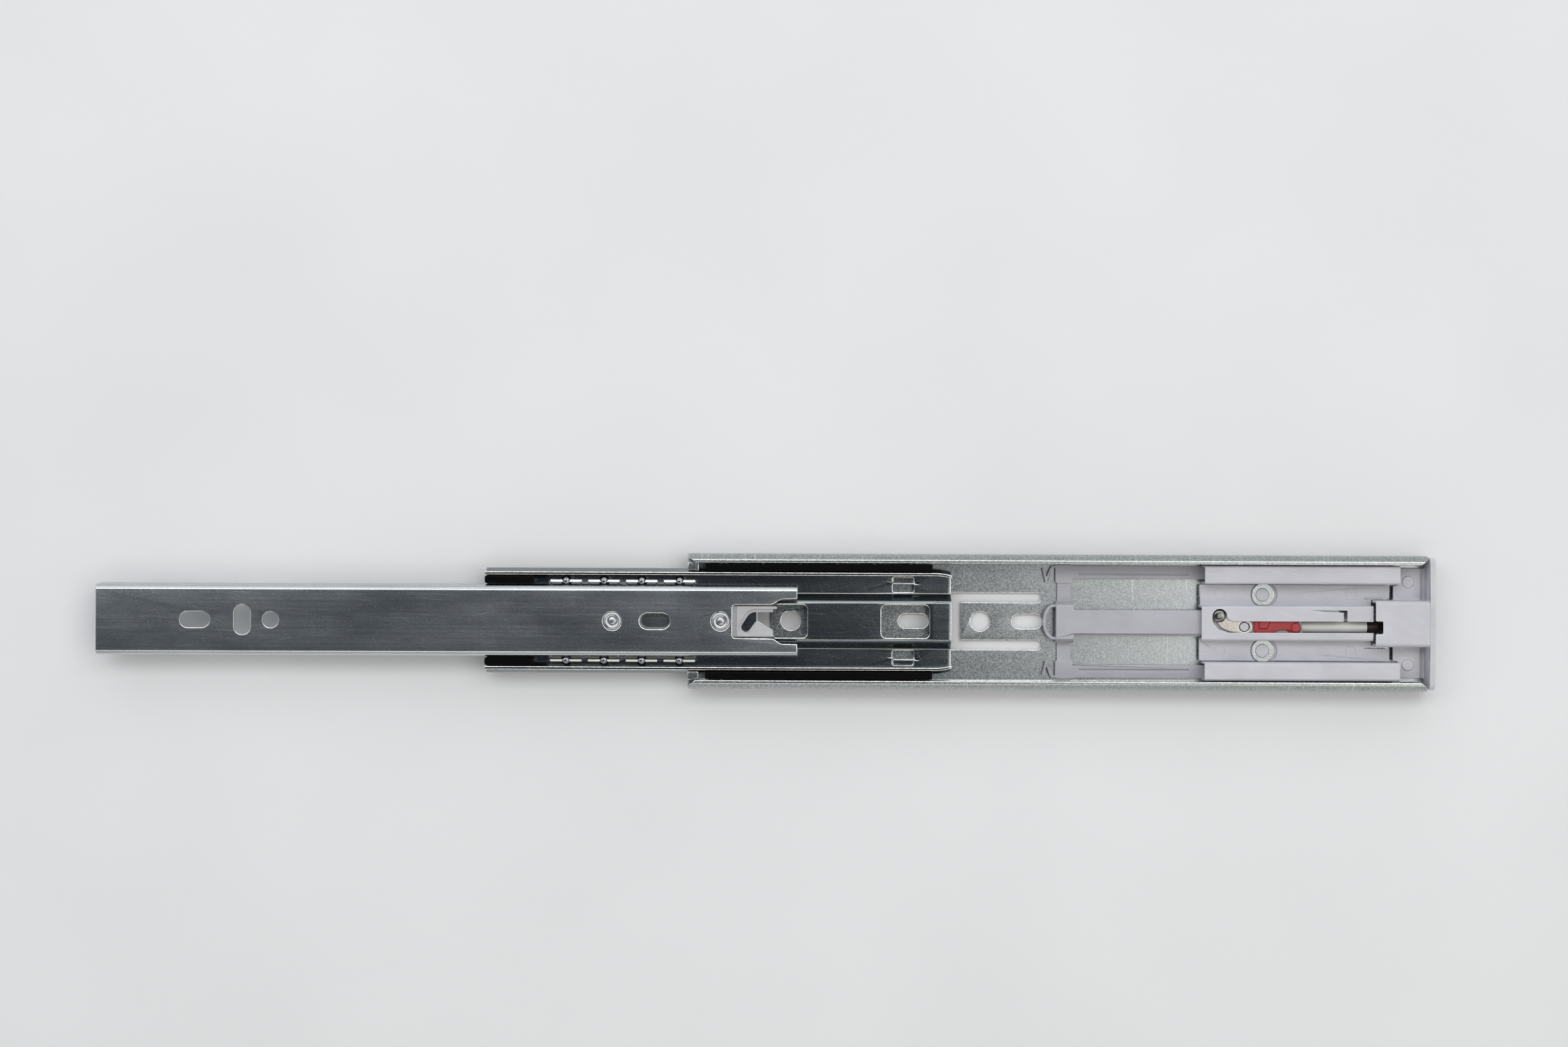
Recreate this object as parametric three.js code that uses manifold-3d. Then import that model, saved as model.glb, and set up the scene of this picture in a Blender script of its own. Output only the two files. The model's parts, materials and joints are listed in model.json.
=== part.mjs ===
// Cabinet drawer slide: a three-member ball-bearing slide with a soft-close unit in its rear end, part open.
// Millimetres. X runs along the slide and grows towards the rear, Y across it, Z away from the cabinet wall.
// The origin is the middle of the cabinet member's back face.

import * as THREE from 'three';
import { mergeVertices } from 'three/addons/utils/BufferGeometryUtils.js';
import Module from 'manifold-3d';

const wasm = await Module();
wasm.setup();

// ---- driving dimensions ----

const SHEET = 1.2; // cabinet and drawer member
const THIN_SHEET = 1.1; // intermediate member
const CAGE_SHEET = 0.4; // steel ball retainer
const GAP = 0.3; // between pieces that touch on the real slide
const SIDES = [1, -1];

// where each member starts and ends, as the slide stands part open
const CABINET = { front: -125, rear: 123.2 };
const INTERMEDIATE = { front: -193, rear: -36.4 };
const DRAWER = { front: -322.8, rear: -88.2 };
const OUTER_CAGE = { front: -119, rear: -43 };
const INNER_CAGE = { front: -171.8, rear: -122.2 };

// half sections as the middle of the sheet: [y, z, bend radius]
const CABINET_LINE = [[0, 0.6, 0], [22.1, 0.6, 2.6], [22.1, 9.3, 1.6], [20.25, 10.9, 1.4], [20.25, 12, 0]];
const INTERMEDIATE_LINE = [
  [0, 7.45, 0], [6.45, 7.45, 1.2], [8.9, 4.15, 1.2], [17.05, 4.15, 1],
  [17.05, 5.6, 0.8], [15.9, 6.8, 1.2], [15.9, 10.4, 0],
];
const DRAWER_LINE = [
  [0, 12.1, 0], [11.3, 12.1, 1.4], [11.3, 10.4, 0.7], [10.6, 9.6, 0.7],
  [10.6, 7.5, 0.7], [11.5, 6.6, 0.7], [11.5, 6, 0],
];
const INNER_CAGE_LINE = [[0, 8.5, 0], [7.9, 8.5, 0.8], [10.1, 5.25, 0.6], [13.28, 5.25, 0.5], [13.28, 10, 0]];

// screw holes of the cabinet member, on the centre line: one group and its copy a pitch further forward
const HOLE_PITCH = 64;
const ROUND_HOLE = { x: -26.3, radius: 3.3 };
const LONG_HOLE = { x: -10.5, length: 10.2, width: 4.8 };
const EXTRA_LONG_HOLE_X = -48.9;
const TONGUE = { tip: -33, root: -5.8, half: 6.4, slotWidth: 3.2, tipSlot: 4.6 };

const WINDOWS = [[-60, -43.8], [-101.6, -84.8]]; // of the intermediate member, front and rear of each
const WINDOW_HALF = 5.5;
const LANCED_TAB = { front: -56.1, rear: -48.9, clear: 9.9, inner: 12.5, outer: 13.1, dip: 14.8, top: 7.6 };
const LIP_TAPER = { length: 6, inward: 0.8, from: 14.5, to: 15.3 }; // the lips lean in at the rear end
const STOP_TAB = { length: 3.7, inner: 16.95, foot: 18, outer: 19.7, low: 7.4, top: 9 };

// rear mouth of the drawer member: a window that flares to an open end
const MOUTH = { front: -109.9, half: 5.55, flareFront: -96.4, flareRear: -93.8, flareHalf: 7.4 };

// plastic catch held under the drawer member by two rivets; its boss rises in the mouth
const RIVETS = [-150.1, -113.9];
const RIVET = { shank: 1.6, hole: 1.9, head: 2.85, recess: 3.1, floor: 12, top: 12.66, low: 9.3 };
const CATCH = { front: -153.5, rear: -96.3, half: 5.4, low: 9, high: 11.2 };
const BOSS = { front: -108.5, rear: -95, half: 5.05, top: 12.1, step: 11.3 };
const MIDDLE_SLOT_X = -135.9;

const OUTER_BALL = { radius: 2.25, y: 18.97, z: 7.9, count: 6, first: -112, pitch: 12.4 };
const INNER_BALL = { radius: 1.85, y: 13.28, z: 8.4, count: 4, first: -165.7, pitch: 12.67 };
const BALL_HOLE_PLAY = 0.25;

// soft-close unit: a fixed housing with side covers and a rear cap, and a sprung carriage that slides in it
const BASE = SHEET + GAP; // underside of the plastic pieces
const CROSSBAR = { front: -1.1, rear: 4.9 };
const HOUSING = { front: 47.5, rear: 105.2, half: 5.9, wall: 0.9, top: 8.7, roof: 0.5 };
const MID_PLATE = { front: 47.3, rear: 111.3, outer: 12.85, top: 4.6, thickness: 1.6 };
const SIDE_COVER = { front: 48.3, rear: 113.8, inner: 13.1, outer: 19.4, top: 10.4, wall: 0.8 };
const REAR_BLOCK = { front: 105.5, rear: 123.9, half: 7.8, top: 11, wall: 0.9 };
const CAP_PLATE = { front: 112.6, besideCover: 114.2, rear: 121.8, outer: 18.6, low: 3, floor: 2.4 };
const END_WALL = { front: 123.5, rear: 125.5, half: 22.2, top: 11.2 };
const RAIL = { inner: 14.5, outer: 19, top: 3.2, rear: 52 };
const BAR = { upper: 4.15, lower: -4, step: -4.7, stepTop: 5.2, top: 6.4, rear: 81.6 };
const DAMPER = { y: -1.3, z: 3.6, radius: 1.9, bore: 1.3, front: 58, rear: 103.8, cap: 107.7 };
const ROD = { front: 17.5, rear: 61, radius: 0.6, pistonRear: 63.5, pistonRadius: 1.05 };
const ROOF_SLOT = { low: -3.2, high: 0.6 }; // opening over the damper
const DAMPER_PLAY = 0.3;
const PIVOT = { x: 62, y: -1.3 };
const PIN = { x: 53.6, y: 2.3, radius: 2.15 };
const ARM = { low: 6.75, high: 7.4, hole: 1.75 };
const EYELET = { x: 68.7, y: 9.45, outer: 3.75, inner: 2.28, pocket: 4.55, stake: 2.15 };

const ROUND = 6; // segments of a quarter turn
const STRIPES = 12; // lengths a long sheet is divided into, so that it has no sliver faces
const FINE_ANGLE = Math.PI / 8; // largest step along a bend

// ---- colours ----

const zinc = (color, roughness) => new THREE.MeshStandardMaterial({ color, roughness, metalness: 1 });
const plastic = (color, roughness) => new THREE.MeshStandardMaterial({ color, roughness, metalness: 0 });

// ---- solids ----

function toSolid(geometry) {
  const bare = geometry.clone();
  bare.deleteAttribute('normal');
  bare.deleteAttribute('uv');
  const merged = mergeVertices(bare, 1e-4);
  const mesh = new wasm.Mesh({
    numProp: 3,
    vertProperties: merged.attributes.position.array,
    triVerts: new Uint32Array(merged.index.array),
  });
  return new wasm.Manifold(mesh);
}

function toGeometry(solid) {
  const mesh = solid.getMesh();
  const geometry = new THREE.BufferGeometry();
  geometry.setAttribute('position', new THREE.BufferAttribute(new Float32Array(mesh.vertProperties), 3));
  geometry.setIndex(new THREE.BufferAttribute(new Uint32Array(mesh.triVerts), 1));
  geometry.computeVertexNormals();
  return geometry;
}

const joined = (solids) => solids.reduce((whole, solid) => whole.add(solid));
const cut = (solid, cutters) => cutters.reduce((rest, cutter) => rest.subtract(cutter), solid);

function box(x0, x1, y0, y1, z0, z1) {
  const geometry = new THREE.BoxGeometry(x1 - x0, Math.abs(y1 - y0), z1 - z0);
  geometry.translate((x0 + x1) / 2, (y0 + y1) / 2, (z0 + z1) / 2);
  return toSolid(geometry);
}

// the same where either Y may be the larger
const boxBetween = (x0, x1, ya, yb, z0, z1) => box(x0, x1, Math.min(ya, yb), Math.max(ya, yb), z0, z1);

// an outline in X and Y, given height
function prism(shape, low, high) {
  const geometry = new THREE.ExtrudeGeometry(shape, {
    depth: high - low,
    bevelEnabled: false,
    curveSegments: ROUND,
  });
  geometry.translate(0, 0, low);
  return toSolid(geometry);
}

// an outline in Y and Z, drawn out along X
function alongX(shape, start, end, steps = 1) {
  const geometry = new THREE.ExtrudeGeometry(shape, {
    depth: end - start,
    bevelEnabled: false,
    curveSegments: ROUND,
    steps,
  });
  const turn = new THREE.Matrix4().makeBasis(
    new THREE.Vector3(0, 1, 0),
    new THREE.Vector3(0, 0, 1),
    new THREE.Vector3(1, 0, 0),
  );
  geometry.applyMatrix4(turn);
  geometry.translate(start, 0, 0);
  return toSolid(geometry);
}

const outline = (points) => new THREE.Shape(points.map(([x, y]) => new THREE.Vector2(x, y)));

function roundedRectangle(x0, x1, y0, y1, radius) {
  const low = Math.min(y0, y1);
  const high = Math.max(y0, y1);
  const corners = [[x0, low, radius], [x1, low, radius], [x1, high, radius], [x0, high, radius]];
  return outline(roundedLoop(corners));
}

function disc(x, y, radius, low, high) {
  const shape = new THREE.Shape();
  shape.absarc(x, y, radius, 0, Math.PI * 2, false);
  const geometry = new THREE.ExtrudeGeometry(shape, {
    depth: high - low,
    bevelEnabled: false,
    curveSegments: ROUND * 2,
  });
  geometry.translate(0, 0, low);
  return toSolid(geometry);
}

// a slot with round ends, along X or, where turned, along Y
function slot(x, y, length, width, low, high, turned = false) {
  const reach = (length - width) / 2;
  const [dx, dy] = turned ? [0, reach] : [reach, 0];
  const middle = turned
    ? box(x - width / 2, x + width / 2, y - reach, y + reach, low, high)
    : box(x - reach, x + reach, y - width / 2, y + width / 2, low, high);
  const ends = [1, -1].map((end) => disc(x + end * dx, y + end * dy, width / 2, low, high));
  return joined([middle, ...ends]);
}

// ---- outlines with bends ----

function bend(before, here, after, radius) {
  const arriving = here.clone().sub(before).normalize();
  const leaving = after.clone().sub(here).normalize();
  const turn = Math.acos(THREE.MathUtils.clamp(arriving.dot(leaving), -1, 1));
  const side = Math.sign(arriving.cross(leaving));
  const start = here.clone().addScaledVector(arriving, -radius * Math.tan(turn / 2));
  const centre = start.clone().addScaledVector(new THREE.Vector2(-arriving.y, arriving.x), side * radius);
  const steps = Math.max(2, Math.ceil(turn / FINE_ANGLE));
  return Array.from({ length: steps + 1 }, (_, n) => {
    return start.clone().rotateAround(centre, (side * turn * n) / steps);
  });
}

const vector = ([x, y]) => new THREE.Vector2(x, y);

function roundedLine(corners) {
  const last = corners.length - 1;
  return corners.flatMap((corner, n) => {
    if (n === 0 || n === last || !corner[2]) {
      return [vector(corner)];
    }
    return bend(vector(corners[n - 1]), vector(corner), vector(corners[n + 1]), corner[2]);
  });
}

function roundedLoop(corners) {
  const count = corners.length;
  return corners.flatMap((corner, n) => {
    const before = vector(corners[(n + count - 1) % count]);
    const after = vector(corners[(n + 1) % count]);
    const bent = corner[2] ? bend(before, vector(corner), after, corner[2]) : [vector(corner)];
    return bent.map((point) => [point.x, point.y]);
  });
}

// the outline of a sheet of even thickness around its middle line
function thickened(points, thickness) {
  const edge = (side) => points.map((point, n) => {
    const before = points[Math.max(n - 1, 0)];
    const after = points[Math.min(n + 1, points.length - 1)];
    const arriving = (n ? point.clone().sub(before) : after.clone().sub(point)).normalize();
    const last = n === points.length - 1;
    const leaving = (last ? point.clone().sub(before) : after.clone().sub(point)).normalize();
    const along = arriving.clone().add(leaving).normalize();
    const stretch = 1 / along.dot(arriving);
    const across = new THREE.Vector2(-along.y, along.x);
    return point.clone().addScaledVector(across, (side * stretch * thickness) / 2);
  });
  return new THREE.Shape([...edge(1), ...edge(-1).reverse()]);
}

function sheetMember(halfLine, thickness, start, end, steps = 1) {
  const half = roundedLine(halfLine);
  const mirrored = half.slice(1).map((point) => new THREE.Vector2(-point.x, point.y)).reverse();
  return alongX(thickened([...mirrored, ...half], thickness), start, end, steps);
}

// ---- the three steel members ----

function tongueSlot(offset) {
  const { tip, root, half, slotWidth, tipSlot } = TONGUE;
  const tipFace = tip + offset;
  const reach = root + offset;
  const across = prism(
    roundedRectangle(tipFace - tipSlot, tipFace, -half - slotWidth, half + slotWidth, 0.8),
    -1, SHEET + 1,
  );
  const arms = SIDES.map((side) => {
    const y0 = side * half;
    const y1 = side * (half + slotWidth);
    return prism(roundedRectangle(tipFace - tipSlot / 2, reach, y0, y1, 1.2), -1, SHEET + 1);
  });
  return joined([across, ...arms]);
}

function cabinetMember() {
  const member = sheetMember(CABINET_LINE, SHEET, CABINET.front, CABINET.rear);
  const cutters = [0, -HOLE_PITCH].flatMap((offset) => [
    disc(ROUND_HOLE.x + offset, 0, ROUND_HOLE.radius, -1, SHEET + 1),
    slot(LONG_HOLE.x + offset, 0, LONG_HOLE.length, LONG_HOLE.width, -1, SHEET + 1),
    tongueSlot(offset),
  ]);
  cutters.push(slot(EXTRA_LONG_HOLE_X, 0, LONG_HOLE.length, LONG_HOLE.width, -1, SHEET + 1));
  const lipCut = 3;
  SIDES.forEach((side) => {
    [[CABINET.front, 1], [CABINET.rear, -1]].forEach(([end, inward]) => {
      const corner = outline([
        [end - inward, side * 17],
        [end - inward, side * 22],
        [end, side * 21.6],
        [end + inward * lipCut, side * 19.4],
        [end + inward * lipCut, side * 17],
      ]);
      cutters.push(prism(corner, 9, 12));
    });
  });
  const tabs = SIDES.flatMap((side) => {
    const rear = CABINET.front + STOP_TAB.length;
    const { inner, foot, outer, low, top } = STOP_TAB;
    return [
      boxBetween(CABINET.front, rear, side * foot, side * outer, SHEET / 2, top),
      boxBetween(CABINET.front, rear, side * inner, side * outer, low, top),
    ];
  });
  return joined([cut(member, cutters), ...tabs]);
}

function intermediateMember() {
  const { front, rear } = INTERMEDIATE;
  const bendStart = rear - LIP_TAPER.length;
  const straight = sheetMember(INTERMEDIATE_LINE, THIN_SHEET, front, bendStart, STRIPES);
  const tail = sheetMember(INTERMEDIATE_LINE, THIN_SHEET, bendStart, rear, 5).warp((point) => {
    const run = (point[0] - bendStart) / LIP_TAPER.length;
    const share = THREE.MathUtils.smoothstep(Math.abs(point[1]), LIP_TAPER.from, LIP_TAPER.to);
    point[1] -= Math.sign(point[1]) * share * LIP_TAPER.inward * run * run;
  });
  const member = straight.add(tail);
  const cutters = WINDOWS.map(([x0, x1]) => {
    return prism(roundedRectangle(x0, x1, -WINDOW_HALF, WINDOW_HALF, 1.6), 6, 9);
  });
  const tab = LANCED_TAB;
  const tabs = SIDES.map((side) => {
    const hole = roundedRectangle(tab.front, tab.rear, side * tab.clear, side * tab.inner, 0.6);
    const dip = roundedRectangle(tab.front, tab.rear, side * tab.outer, side * tab.dip, 0.6);
    cutters.push(prism(hole, 3, 5.2), prism(dip, 4.1, 5.2));
    return boxBetween(tab.front, tab.rear, side * tab.inner, side * tab.outer, 3.8, tab.top);
  });
  return joined([cut(member, cutters), ...tabs]);
}

function drawerMember() {
  const { front, rear } = DRAWER;
  const member = sheetMember(DRAWER_LINE, SHEET, front, rear);
  const low = 11;
  const high = 13.2;
  const halfMouth = [
    [rear + 1, MOUTH.flareHalf + 0.1, 0],
    [MOUTH.flareRear, MOUTH.flareHalf, 2.4],
    [MOUTH.flareFront, MOUTH.half, 2.4],
    [MOUTH.front, MOUTH.half, 1],
  ];
  const mirrored = halfMouth.map(([x, y, radius]) => [x, -y, radius]).reverse();
  const cutters = [
    slot(-289.6, 0, 10, 5.3, low, high),
    slot(-273.7, 0, 10, 5.5, low, high, true),
    disc(-264.2, 0, 2.65, low, high),
    slot(MIDDLE_SLOT_X, 0, 10.2, 5.3, low, high),
    prism(outline(roundedLoop([...halfMouth, ...mirrored])), low, high),
    ...RIVETS.map((x) => disc(x, 0, RIVET.hole, low, high)),
    ...RIVETS.map((x) => disc(x, 0, RIVET.recess, RIVET.floor, high)),
  ];
  const lip = box(front, front + SHEET, -9, 9, 9.3, 12.2);
  return joined([cut(member, cutters), lip]);
}

// ---- catch under the drawer member ----

function latchCatch() {
  const { front, rear, half, low, high } = CATCH;
  const base = prism(roundedRectangle(front, rear, -half, half, 0.8), low, high);
  const boss = prism(roundedRectangle(BOSS.front, BOSS.rear, -BOSS.half, BOSS.half, 0.3), low, BOSS.top);
  const open = BOSS.rear + 1;
  const groove = prism(outline(roundedLoop([
    [open, -4.35, 0], [-101.7, 0.45, 0.8], [-105.1, -4.08, 1.4],
    [-107.5, -2.44, 1.4], [-104, 3.1, 3.2], [open, 3.1, 0],
  ])), low - 1, BOSS.top + 1);
  const rim = prism(outline(roundedLoop([
    [open, -6.2, 0], [-101.57, -0.86, 0.5], [-104.84, -5.47, 2.3],
    [-108.9, -2.7, 2.3], [-104.5, 4.2, 4.1], [open, 4.2, 0],
  ])), low - 1, BOSS.top + 1);
  const rimStep = rim.intersect(box(front, rear, -half, half, BOSS.step, BOSS.top + 1));
  const rimEnd = rim.intersect(box(rear, open, -half, half, low - 1, BOSS.top + 1));
  const holes = RIVETS.map((x) => disc(x, 0, RIVET.hole, low - 1, high + 1));
  const middleSlot = slot(MIDDLE_SLOT_X, 0, 11, 6.2, low - 1, high + 1);
  return cut(joined([base, boss]), [groove, rimStep, rimEnd, middleSlot, ...holes]);
}

function rivet(x) {
  const { shank, head, floor, top, low } = RIVET;
  const under = floor + 0.05;
  const profile = [
    [0, low], [shank, low], [shank, under], [head, under], [head, top - 0.14], [head - 0.35, top],
    [head - 0.7, top], [head - 1, top - 0.2], [1.3, top - 0.2], [0.9, top - 0.08], [0.6, top], [0, top],
  ];
  const geometry = new THREE.LatheGeometry(profile.map(vector), ROUND * 3);
  geometry.rotateX(Math.PI / 2);
  geometry.translate(x, 0, 0);
  return toSolid(geometry);
}

// ---- balls and their cages ----

const ballX = (row, n) => row.first + row.pitch * n;

function ball(row, side, n) {
  const geometry = new THREE.SphereGeometry(row.radius, ROUND * 2, ROUND + 1);
  geometry.translate(ballX(row, n), side * row.y, row.z);
  return toSolid(geometry);
}

function ballHole(row, side, n) {
  const radius = row.radius + BALL_HOLE_PLAY;
  const geometry = new THREE.CylinderGeometry(radius, radius, 4, ROUND * 3);
  geometry.translate(ballX(row, n), side * row.y, row.z);
  return toSolid(geometry);
}

const rowHoles = (row, side) => Array.from({ length: row.count }, (_, n) => ballHole(row, side, n));

function outerCage(side) {
  const profile = [
    [18.4, 4.9], [19.3, 4.9], [19.3, 11.3], [16.9, 11.3], [16.9, 10.75], [18.4, 10.75],
  ].map(([y, z]) => [side * y, z]);
  return cut(alongX(outline(profile), OUTER_CAGE.front, OUTER_CAGE.rear), rowHoles(OUTER_BALL, side));
}

function innerCage() {
  const cage = sheetMember(INNER_CAGE_LINE, CAGE_SHEET, INNER_CAGE.front, INNER_CAGE.rear);
  const cutters = SIDES.flatMap((side) => rowHoles(INNER_BALL, side));
  const returns = [];
  const half = 0.8;
  const foot = { inner: 12.35, outer: 13.2, low: 8.9, high: 10, length: 0.5 };
  SIDES.forEach((side) => {
    for (let n = 0; n < INNER_BALL.count; n += 1) {
      const x = ballX(INNER_BALL, n);
      const gap = x + INNER_BALL.pitch / 2;
      const reach = INNER_BALL.pitch / 2 - half - 0.3;
      const leaning = outline([
        [side * 13, 9.6], [side * 13.7, 9.6], [side * 13.7, 10.02], [side * 13, 10.18],
      ]);
      const strip = alongX(leaning, x - reach, x + reach);
      returns.push(strip.subtract(ballHole(INNER_BALL, side, n)));
      const floor = n === 1 ? 6.4 : 9.3;
      cutters.push(boxBetween(gap - half, gap + half, side * 12.2, side * 13.8, floor, 12));
      [-1, 1].forEach((end) => {
        const edge = x + end * (INNER_BALL.pitch / 2 - half - 0.3);
        const x0 = Math.min(edge, edge - end * foot.length);
        const x1 = x0 + foot.length;
        returns.push(boxBetween(x0, x1, side * foot.inner, side * foot.outer, foot.low, foot.high));
      });
    }
  });
  const inside = box(INNER_CAGE.front, INNER_CAGE.rear, -20, 20, 0, 20);
  return cut(joined([cage, ...returns]), cutters).intersect(inside);
}

function frontBumper(side) {
  const { front } = INTERMEDIATE;
  const block = prism(roundedRectangle(front, -176.4, side * 12.4, side * 15.05, 0.7), 5, 10.4);
  const tail = prism(roundedRectangle(-178, -172.2, side * 14.2, side * 15.05, 0.4), 6.4, 9.8);
  return joined([block, tail]);
}

// ---- soft-close unit: fixed pieces ----

// the opening of the roof around the latch arm, as a cutter
function latchWindow(low, high) {
  const slotSide = roundedLoop([
    [59.5, ROOF_SLOT.high, 0], [57.4, 0.75, 0.8], [55.4, 2.1, 0.8], [53.6, 3.4, 0.6], [51.1, 2.6, 0.6],
    [51.1, 0.4, 1.5], [53.2, -2.2, 2], [56.6, ROOF_SLOT.low, 1.5], [59.5, ROOF_SLOT.low, 0],
  ]);
  return joined([prism(outline(slotSide), low, high), disc(PIN.x, PIN.y, PIN.radius + 0.3, low, high)]);
}

function damperHousing() {
  const { front, rear, half, wall, top, roof } = HOUSING;
  const shell = alongX(outline(roundedLoop([
    [-half, BASE, 0], [half, BASE, 0], [half, top, 0.8], [-half, top, 0.8],
  ])), front, rear);
  const hollow = box(front - 1, rear + 1, -half + wall, half - wall, BASE - 1, top - roof);
  const openings = [
    hollow,
    box(56.5, rear + 1, ROOF_SLOT.low, ROOF_SLOT.high, top - 2, top + 1),
    latchWindow(top - 2, top + 1),
    prism(outline([[84.4, 4.35], [95.2, 3.6], [95.2, 4.35]]), top - 2, top + 1),
    box(95.2, 96.4, 0.5, 4.35, top - 2, top + 1),
  ];
  const plates = SIDES.map((side) => {
    const plate = prism(
      roundedRectangle(MID_PLATE.front, MID_PLATE.rear, side * (half - 0.4), side * MID_PLATE.outer, 0.5),
      MID_PLATE.top - MID_PLATE.thickness, MID_PLATE.top,
    );
    const ribs = [MID_PLATE.outer - 0.6, 7].map((y) => {
      const end = MID_PLATE.rear - 10;
      return boxBetween(MID_PLATE.front + 0.6, end, side * y, side * (y - 0.8), BASE, MID_PLATE.top - 0.5);
    });
    const floor = MID_PLATE.top - 0.8;
    const pocket = disc(EYELET.x + 0.4, side * EYELET.y, EYELET.pocket, floor, MID_PLATE.top + 1);
    const marks = [54.2, 98.4].map((x) => disc(x, side * 9.7, 1.85, MID_PLATE.top - 0.2, MID_PLATE.top + 1));
    const slit = slot(107.4, side * 8.35, 9, 0.55, BASE, MID_PLATE.top + 1);
    const inward = side * (half - 1);
    const outward = side * (REAR_BLOCK.half + GAP);
    const blockWay = boxBetween(rear, MID_PLATE.rear + 1, inward, outward, BASE - 1, MID_PLATE.top + 1);
    const stake = disc(EYELET.x - 0.2, side * EYELET.y, EYELET.stake, floor - 0.4, MID_PLATE.top + 0.4);
    const open = [pocket, ...marks, slit, blockWay];
    return joined([cut(joined([plate, ...ribs]), open), stake]);
  });
  return joined([cut(shell, openings), ...plates]);
}

function eyelet(side) {
  const low = MID_PLATE.top - 0.5;
  const ring = disc(EYELET.x, side * EYELET.y, EYELET.outer, low, low + 0.6);
  const wallSide = HOUSING.half + 0.15;
  const span = boxBetween(EYELET.x - 5, EYELET.x + 5, side * wallSide, side * 13, low, low + 0.6);
  const hole = disc(EYELET.x - 0.2, side * EYELET.y, EYELET.inner, low - 1, low + 2);
  return ring.intersect(span).subtract(hole);
}

function sideCover(side) {
  const { front, rear, inner, outer, top, wall } = SIDE_COVER;
  const section = (grow, low, high) => outline(roundedLoop([
    [side * (inner + grow), low, 0],
    [side * (outer - grow), low, 0],
    [side * (outer - grow), high, 1 - grow],
    [side * (inner + grow), high, 1 - grow],
  ]));
  const shell = alongX(section(0, BASE, top), front, rear);
  const hollow = alongX(section(wall, BASE - 1, top - wall), front - 1, rear - wall);
  const inward = side * (inner + wall);
  const railWay = boxBetween(front - 1, rear - wall, inward, side * (outer + 1), BASE - 1, RAIL.top + 0.6);
  return cut(shell, [hollow, railWay]);
}

function rearCap() {
  const { front, rear, half, top, wall } = REAR_BLOCK;
  const block = alongX(outline(roundedLoop([
    [-half, BASE, 0], [half, BASE, 0], [half, top, 1.4], [-half, top, 1.4],
  ])), front, rear);
  const inside = half - wall;
  const hollow = box(front - 1, END_WALL.front - 0.6, -inside, inside, BASE - 1, top - wall);
  const notch = box(front - 1, DAMPER.cap + GAP, ROOF_SLOT.low - 0.2, ROOF_SLOT.high + 0.2, BASE, top + 1);
  const plates = SIDES.map((side) => {
    const { low, floor, outer } = CAP_PLATE;
    const inner = side * (half - 0.4);
    const beside = side * (SIDE_COVER.inner - GAP);
    const narrow = boxBetween(CAP_PLATE.front, CAP_PLATE.rear, inner, beside, low, MID_PLATE.top);
    const wide = boxBetween(CAP_PLATE.besideCover, CAP_PLATE.rear, inner, side * outer, low, MID_PLATE.top);
    const baseRear = END_WALL.front + 0.5;
    const base = boxBetween(CAP_PLATE.besideCover, baseRear, inner, side * outer, floor - 0.8, floor + 0.8);
    const boss = disc(117.5, side * 14, 1.95, MID_PLATE.top - 0.5, MID_PLATE.top + 0.8);
    return joined([narrow, wide, base, boss]);
  });
  const endWall = alongX(outline(roundedLoop([
    [-END_WALL.half, 0.3, 1], [END_WALL.half, 0.3, 1],
    [END_WALL.half, END_WALL.top, 2], [-END_WALL.half, END_WALL.top, 2],
  ])), END_WALL.front, END_WALL.rear);
  return joined([cut(block, [hollow, notch]), ...plates, endWall]);
}

// ---- soft-close unit: damper ----

function damperTurned(radius, start, end) {
  const shape = new THREE.Shape();
  shape.absarc(DAMPER.y, DAMPER.z, radius, 0, Math.PI * 2, false);
  return alongX(shape, start, end);
}

function damperCylinder() {
  const tube = damperTurned(DAMPER.radius, DAMPER.front, DAMPER.rear);
  return tube.subtract(damperTurned(DAMPER.bore, DAMPER.front - 1, DAMPER.rear - 1.2));
}

function damperCap() {
  const end = END_WALL.front - 0.6 - GAP;
  return joined([
    damperTurned(DAMPER.radius, DAMPER.rear + 0.1, DAMPER.cap),
    damperTurned(1.1, DAMPER.cap - 0.5, end),
  ]);
}

const damperRod = () => joined([
  damperTurned(ROD.radius, ROD.front, ROD.rear),
  damperTurned(ROD.pistonRadius, ROD.rear - 0.5, ROD.pistonRear),
]);

// ---- soft-close unit: moving pieces ----

function thinArm(points, width, low, high) {
  const curve = new THREE.CatmullRomCurve3(points.map(([x, y]) => new THREE.Vector3(x, y, 0)));
  const line = curve.getPoints(points.length * 3).map((point) => new THREE.Vector2(point.x, point.y));
  return prism(thickened(line, width), low, high);
}

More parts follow.
